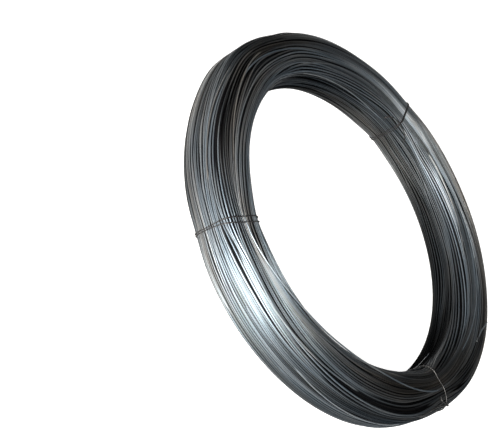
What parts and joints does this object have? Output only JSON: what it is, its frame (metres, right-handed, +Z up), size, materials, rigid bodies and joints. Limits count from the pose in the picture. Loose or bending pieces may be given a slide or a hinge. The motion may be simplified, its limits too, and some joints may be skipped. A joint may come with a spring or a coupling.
{
  "type": "coil of drawn steel wire",
  "caption": "Ring-shaped coil of drawn steel wire lying flat on one end, with a round bore, turns gathered in bunches, and twisted wire ties.",
  "frame": {"origin": "middle of the ring on the level surface that its lower end rests on", "axes": "+Z up along the ring's axis; azimuths are counted from +X towards +Y, and front_tie is near -Y"},
  "size_m": [0.6, 0.6, 0.07],
  "materials": {
    "coil_wire": "cold-drawn steel wire with a dark, thinly oxidised and lightly oiled surface",
    "tie_wire": "black-annealed soft iron tie wire"
  },
  "bodies": {
    "root": {"wire_coil": "coil_wire", "front_tie": "tie_wire", "back_tie": "tie_wire", "side_tie": "tie_wire"}
  },
  "joints": []
}
